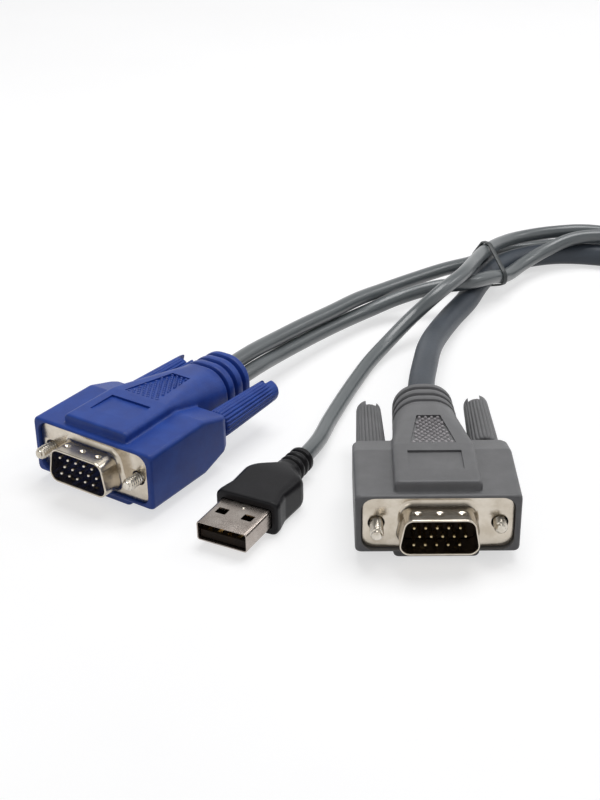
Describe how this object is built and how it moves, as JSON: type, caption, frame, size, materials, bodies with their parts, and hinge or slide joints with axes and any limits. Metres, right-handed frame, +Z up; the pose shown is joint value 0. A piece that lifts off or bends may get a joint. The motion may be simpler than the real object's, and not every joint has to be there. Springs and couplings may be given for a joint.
{
  "type": "kvm cable",
  "caption": "Cable that joins a blue video plug and a flat black plug to a grey video plug, with thin legs, a thick trunk cord, thumbscrews and a tie.",
  "frame": {"origin": "on the table, under the middle of the box round the three plugs", "axes": "+X to the right of the picture, +Y away from the camera along the table, +Z up from the table"},
  "size_m": [0.2805, 0.1748, 0.0182],
  "materials": {
    "blue_moulded_pvc": "satin moulded PVC",
    "grey_moulded_pvc": "satin moulded PVC",
    "navy_insulator": "moulded insulator",
    "black_insulator": "moulded insulator",
    "nickel_plated_steel": "nickel plated pressed steel",
    "nickel_plated_pin": "bright nickel plated pin",
    "nickel_plated_screw": "nickel plated steel",
    "gold_plated_contact": "plated contact",
    "black_moulded_pvc": "satin moulded PVC",
    "grey_leg_jacket": "glossy PVC jacket",
    "grey_trunk_jacket": "matte PVC jacket",
    "black_tie": "plastic tie"
  },
  "bodies": {
    "cable": {"blue_leg_lower": "grey_leg_jacket", "blue_leg_upper": "grey_leg_jacket", "blue_plug_hood": "blue_moulded_pvc", "blue_plug_insulator": "navy_insulator", "blue_plug_pin_01": "nickel_plated_pin", "blue_plug_pin_02": "nickel_plated_pin", "blue_plug_pin_03": "nickel_plated_pin", "blue_plug_pin_04": "nickel_plated_pin", "blue_plug_pin_05": "nickel_plated_pin", "blue_plug_pin_06": "nickel_plated_pin", "blue_plug_pin_07": "nickel_plated_pin", "blue_plug_pin_08": "nickel_plated_pin", "blue_plug_pin_09": "nickel_plated_pin", "blue_plug_pin_10": "nickel_plated_pin", "blue_plug_pin_11": "nickel_plated_pin", "blue_plug_pin_12": "nickel_plated_pin", "blue_plug_pin_13": "nickel_plated_pin", "blue_plug_pin_14": "nickel_plated_pin", "blue_plug_pin_15": "nickel_plated_pin", "blue_plug_shell": "nickel_plated_steel", "bundle_tie": "black_tie", "coil_tie": "black_tie", "cord_junction": "black_moulded_pvc", "grey_plug_hood": "grey_moulded_pvc", "grey_plug_insulator": "black_insulator", "grey_plug_pin_01": "nickel_plated_pin", "grey_plug_pin_02": "nickel_plated_pin", "grey_plug_pin_03": "nickel_plated_pin", "grey_plug_pin_04": "nickel_plated_pin", "grey_plug_pin_05": "nickel_plated_pin", "grey_plug_pin_06": "nickel_plated_pin", "grey_plug_pin_07": "nickel_plated_pin", "grey_plug_pin_08": "nickel_plated_pin", "grey_plug_pin_09": "nickel_plated_pin", "grey_plug_pin_10": "nickel_plated_pin", "grey_plug_pin_11": "nickel_plated_pin", "grey_plug_pin_12": "nickel_plated_pin", "grey_plug_pin_13": "nickel_plated_pin", "grey_plug_pin_14": "nickel_plated_pin", "grey_plug_pin_15": "nickel_plated_pin", "grey_plug_shell": "nickel_plated_steel", "trunk_coil": "grey_trunk_jacket", "trunk_cord": "grey_trunk_jacket", "usb_leg": "grey_leg_jacket", "usb_plug_body": "black_moulded_pvc", "usb_plug_contact_1": "gold_plated_contact", "usb_plug_contact_2": "gold_plated_contact", "usb_plug_contact_3": "gold_plated_contact", "usb_plug_contact_4": "gold_plated_contact", "usb_plug_shell": "nickel_plated_steel", "usb_plug_tongue": "black_insulator"},
    "blue_thumbscrew_left": {"blue_plug_screw_left": "nickel_plated_screw", "blue_plug_knob_left": "blue_moulded_pvc"},
    "blue_thumbscrew_right": {"blue_plug_screw_right": "nickel_plated_screw", "blue_plug_knob_right": "blue_moulded_pvc"},
    "grey_thumbscrew_left": {"grey_plug_screw_left": "nickel_plated_screw", "grey_plug_knob_left": "grey_moulded_pvc"},
    "grey_thumbscrew_right": {"grey_plug_screw_right": "nickel_plated_screw", "grey_plug_knob_right": "grey_moulded_pvc"}
  },
  "joints": [
    {"name": "blue_thumbscrew_turn_left", "type": "hinge", "parent": "cable", "child": "blue_thumbscrew_left", "pos_m": [-0.03347, 0.02052, 0.0091], "axis": [0.5678, 0.8231, 0], "continuous": true},
    {"name": "blue_thumbscrew_turn_right", "type": "hinge", "parent": "cable", "child": "blue_thumbscrew_right", "pos_m": [-0.01289, 0.00632, 0.0091], "axis": [0.5678, 0.8231, 0], "continuous": true},
    {"name": "grey_thumbscrew_turn_left", "type": "hinge", "parent": "cable", "child": "grey_thumbscrew_left", "pos_m": [0.02271, -0.00837, 0.0091], "axis": [0.0175, 0.9998, 0], "continuous": true},
    {"name": "grey_thumbscrew_turn_right", "type": "hinge", "parent": "cable", "child": "grey_thumbscrew_right", "pos_m": [0.0477, -0.0088, 0.0091], "axis": [0.0175, 0.9998, 0], "continuous": true}
  ]
}
